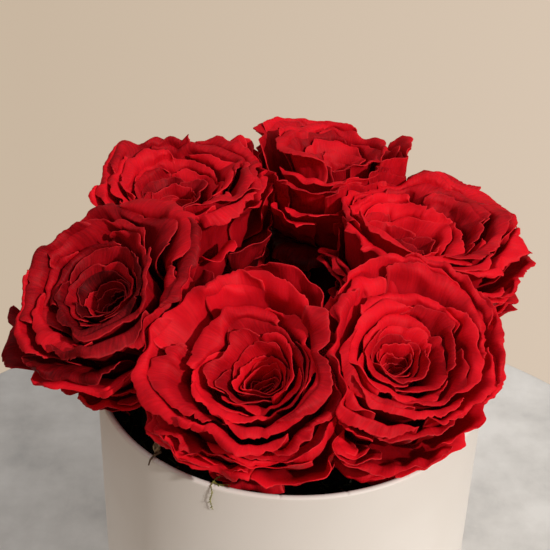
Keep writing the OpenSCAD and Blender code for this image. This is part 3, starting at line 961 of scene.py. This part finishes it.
def stem_sheets(rose):
    rng = random.Random(rose.seed)
    low, high = (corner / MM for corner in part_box(rose.name + "_stem"))
    middle, radius = (low + high) / 2, (high.x - low.x) / 2
    z = np.linspace(low.z, high.z, STEM_GRID[1] + 1)
    swell = np.where(z > FOAM_TOP + 4, 0.12 * np.sin(z / 5) - 0.1, 0)
    path = [(middle.x, middle.y, height) for height in z]
    yield sheet(STEM_GRID, tube(path, radius - 0.02 + swell, STEM_GRID[0]))
    for _ in range(THORNS):
        out, height = heading(rng.uniform(0, math.tau)), rng.uniform(FOAM_TOP + 24, high.z - 8)
        foot = np.array((middle.x, middle.y, height)) + out * (radius - 0.4)
        thorn = curve([foot, foot + out * 0.8, foot + out * 1.5 - (0, 0, 0.7)], THORN_GRID[1])
        yield sheet(THORN_GRID, tube(thorn, (1.0, 0.7, 0.45, 0.2, 0.03), THORN_GRID[0]), 0.8)


# %% Calyxes
# radius and height along the cup and along a sepal
CUP = [(8.6, -0.4), (9.0, -1.6), (8.6, -3.8), (7.0, -6.3), (4.6, -8.2), (2.7, -9.2), (2.45, -10.5)]
SEPAL = [(6.0, -2.8), (10.0, -4.2), (14.0, -4.4), (17.0, -2.2), (18.6, 1.8)]
CUP_GRID, SEPAL_GRID = (48, 24), (10, 22)
SEPALS, SEPAL_HALF, SEPAL_FOLD = 5, 3.7, 0.56


def calyx_sheets(rose):
    """The cup and its sepals."""
    u, _ = unit_grid(CUP_GRID)
    cup = curve(CUP, CUP_GRID[1])
    yield sheet(CUP_GRID, settle(round_points(cup[:, :1], cup[:, 1:], math.pi * u), rose))
    u, t = unit_grid(SEPAL_GRID)
    spine = curve(SEPAL, SEPAL_GRID[1])
    for k in range(SEPALS):
        rng = random.Random(rose.seed * 31 + k)
        half = SEPAL_HALF * (1 - t ** 1.6) * (1 + 0.10 * np.sin(9 * t + rng.uniform(0, 6)))
        around = math.radians(360 / SEPALS * k + rng.uniform(-6, 6) + rose.turn)
        out, up = spine[:, :1], spine[:, 1:] - SEPAL_FOLD * half * u * u + rng.uniform(-1, 0.4) * t
        side = half * u + rng.uniform(-1.5, 1.5) * t * t
        points = np.stack([out * math.cos(around) - side * math.sin(around),
                           out * math.sin(around) + side * math.cos(around), up], -1)
        yield sheet(SEPAL_GRID, settle(points, rose))


for rose in ROSES:
    piece(rose.name + "_stem", rose.name, stem, stem_sheets(rose))
    piece(rose.name + "_calyx", rose.name, calyx, calyx_sheets(rose), thickness=0.5)
print("stems and calyxes are made")

# %% [markdown]
# ## Foam and moss
# Dry foam holds the stems, and a layer of dyed moss hides it. Moss is a
# tangle, so it is made as a soft bumpy bed with many short curled fronds
# pushed into it, most of them dark and a few pale where the dye has missed.

# %% Foam and moss finishes
foam = Finish("dry_foam", 0.1, Roughness=0.95)
cells = foam.noise(1600, 2)
foam.shade(cells, (0.35, (0.030, 0.055, 0.025)), (0.65, (0.075, 0.115, 0.055)))
foam.bump(cells, 0.4, 0.6)
finish_node("foam_block", foam)

moss = Finish("moss", 0.1, Roughness=0.9)
shoots = moss.noise(900, 4)
moss.shade(moss.attribute("tone") + (shoots - 0.5) * 0.25, (0.05, (0.006, 0.007, 0.003)),
           (0.35, (0.022, 0.028, 0.010)), (0.6, (0.070, 0.085, 0.028)), (0.8, (0.20, 0.085, 0.030)),
           (1.0, (0.42, 0.43, 0.33)))
moss.bump(shoots, 0.6, 0.7)

# %% Moss bed
MOSS_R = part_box("moss_bed")[1].x / MM
MOSS_FLAT, CUSHION_R, CUSHION_SINK, CUSHIONS = FOAM_TOP + 9.2, 12, 4.8, 32
FRONDS, FROND_STEPS = 2600, 4
FROND_TONES, TONE_WEIGHTS = (0.15, 0.35, 0.55, 0.8, 1.0), (40, 30, 22, 4, 4)
STEM_ROOM = 3.4
BED_GRID = (120, 120)


def moss_top(x, y):
    """Height of the moss over a point of the plan."""
    height = MOSS_FLAT + 0 * x
    for k in range(CUSHIONS):
        far = (MOSS_R - CUSHION_R) * math.sqrt((k + 0.5) / CUSHIONS)
        turn = math.radians(k * GOLDEN_ANGLE)
        away = np.hypot(x - far * math.cos(turn), y - far * math.sin(turn))
        radius = CUSHION_R * (0.8 + 0.2 * math.sin(math.radians(k * 77)))
        cushion = np.sqrt(np.clip(radius ** 2 - away ** 2, 0, None)) + MOSS_FLAT - CUSHION_SINK
        height = np.maximum(height, cushion)
    return height + 0.5 * np.sin(1.7 * x + 2 * np.sin(y)) + 0.5 * np.sin(1.9 * y + 2 * np.sin(0.8 * x))


def from_stem(x, y):
    """Distance to the nearest stem's axis."""
    return np.min([np.hypot(x - rose.receptacle.x, y - rose.receptacle.y) for rose in ROSES], axis=0)


def frond(rng):
    """One curled frond: its points and its tone."""
    while True:
        x, y = rng.uniform(-MOSS_R, MOSS_R), rng.uniform(-MOSS_R, MOSS_R)
        if math.hypot(x, y) < MOSS_R - 4 and from_stem(x, y) > STEM_ROOM + 3:
            break
    t = np.linspace(0, 1, FROND_STEPS + 1)[:, None]
    out, length, curl = heading(rng.uniform(0, math.tau)), rng.uniform(4, 8), rng.uniform(-1.5, 1.5)
    across = np.array((-out[1], out[0], 0))
    spine = (x, y, float(moss_top(x, y)) - 1) + out * length * 0.6 * np.sin(1.6 * t) + across * curl * t * t
    spine = spine + np.array((0, 0, 1)) * (length * rng.uniform(0.3, 0.9) * (t - 0.45 * t * t))
    keep = np.minimum(1, (MOSS_R - 1) / np.hypot(spine[:, 0], spine[:, 1]))
    spine[:, :2] *= keep[:, None]
    half = rng.uniform(0.3, 0.6) * (1 - 0.7 * t)
    points = np.stack([spine - across * half, spine + across * half], 1)
    return points, rng.choices(FROND_TONES, TONE_WEIGHTS)[0]


def moss_sheets():
    u, t = unit_grid(BED_GRID)
    v = 2 * t - 1
    x, y = (MOSS_R - 0.5) * u * np.sqrt(1 - v * v / 2), (MOSS_R - 0.5) * v * np.sqrt(1 - u * u / 2)
    sink = np.clip(1 - from_stem(x, y) / (STEM_ROOM + 1), 0, 1)
    yield sheet(BED_GRID, np.stack([x, y, moss_top(x, y) - 1 - 25 * sink * (sink > 0.15)], -1), 0.1)
    rng = random.Random(5)
    for _ in range(FRONDS):
        yield sheet((1, FROND_STEPS), *frond(rng))


piece("moss_bed", "box", moss, moss_sheets())
print("moss bed with", FRONDS, "fronds")

# %% [markdown]
# ## What lies on the rim
# A fine strand of moss hangs over the front edge, and a dry twig lies beside
# it. Both are thin tubes along a smooth path through a few points.

# %% Strand of moss over the rim, and a dry twig
strand = Finish("moss_strand", 0.15, Roughness=0.85)
strand.shade(strand.noise(700, 2), (0.35, (0.13, 0.14, 0.03)), (0.65, (0.36, 0.33, 0.09)))
bark = Finish("twig", 0.15, Roughness=0.85)
grain = bark.noise(900)
bark.colour(bark.mix(bark.band(bark.attribute("tone"), 0.4, 0.6),
                     bark.ramp(grain, (0.3, (0.10, 0.065, 0.040)), (0.7, (0.24, 0.165, 0.10))),
                     bark.ramp(grain, (0.3, (0.34, 0.23, 0.13)), (0.7, (0.50, 0.38, 0.24)))))
bark.bump(grain, 0.1, 0.5)
# paths, as bearing, radius and height
HANGING = [(-109, 69, 140.6), (-109.8, 72.4, BOX_H + 0.7), (-110, BOX_R, BOX_H - 0.2),
           (-109.4, BOX_R + 0.7, 138.5), (-110, BOX_R + 0.8, 134), (-109.2, BOX_R + 0.8, 130.5)]
LYING = [(-110, 72.6, BOX_H + 0.5), (-108.4, 73.6, BOX_H + 0.5), (-106.8, 73.2, BOX_H + 0.6),
         (-105.4, 72.6, BOX_H + 0.7)]
TWIG = [(-128.6, 71, 141.4), (-129, 73.6, 141.2), (-129, BOX_R + 0.8, 140.4), (-128.6, BOX_R + 2.2, 139.2)]
BRACT_FOOT, BRACTS = (-129.6, 72.2, 141.2), ((-60, 0.5), (30, 0.3), (110, 0.6), (200, 0.4))  # bearing, lean
STRAND_SIDES, STRAND_RADII = 6, (0.22, 0.1)
TWIG_GRID, TWIG_RADII, BRACT_GRID = (8, 14), (0.5, 0.2), (6, 8)


def at_rim(bearing, radius, height):
    return heading(math.radians(bearing)) * radius + (0, 0, height)


def leaflet(foot, out, length, width):
    """A tiny pointed leaf."""
    side = np.cross(out, (0.2, 0.3, 0.9))
    t = np.linspace(0, 1, 4)[:, None]
    half = width * np.sin(math.pi * (0.15 + 0.85 * t)) * side / np.linalg.norm(side)
    spine = foot + out * length * t
    return sheet((1, 3), np.stack([spine - half, spine + half], 1))


def strand_sheets():
    rng = random.Random(9)
    for points, steps in ((HANGING, 28), (LYING, 16)):
        path = curve([at_rim(*point) for point in points], steps)
        path += np.array([[rng.uniform(-0.12, 0.12) for _ in range(3)] for _ in path])
        radii = np.linspace(*STRAND_RADII, steps + 1)
        yield sheet((STRAND_SIDES, steps), tube(path, radii, STRAND_SIDES))
        for foot in path[1:]:
            for _ in range(3):
                out = np.array([rng.uniform(-1, 1), rng.uniform(-1, 0.1), rng.uniform(-0.8, 0.8)])
                yield leaflet(foot, out / np.linalg.norm(out), rng.uniform(0.5, 1.0), 0.16)


def twig_sheets():
    sides, steps = TWIG_GRID
    twig = curve([at_rim(*point) for point in TWIG], steps)
    yield sheet(TWIG_GRID, tube(twig, np.linspace(*TWIG_RADII, steps + 1), sides), 0.1)
    u, t = unit_grid(BRACT_GRID)
    wide = 1.1 * np.sin(math.pi * (0.12 + 0.8 * t)) * u
    for bearing, lean in BRACTS:
        out = heading(math.radians(bearing))
        side = np.array((-out[1], out[0], 0))
        bulge = 1.0 * np.sin(1.9 * t) * (1 - 0.25 * u * u) + lean * t
        points = (at_rim(*BRACT_FOOT) + bulge[..., None] * out + wide[..., None] * side
                  + (3.2 * t)[..., None] * np.array((0.1, 0.15, 0.95)))
        yield sheet(BRACT_GRID, points, 0.9)


piece("moss_strand", "box", strand, strand_sheets())
piece("moss_twig", "box", bark, twig_sheets(), thickness=0.12)
print("strand and twig are made")
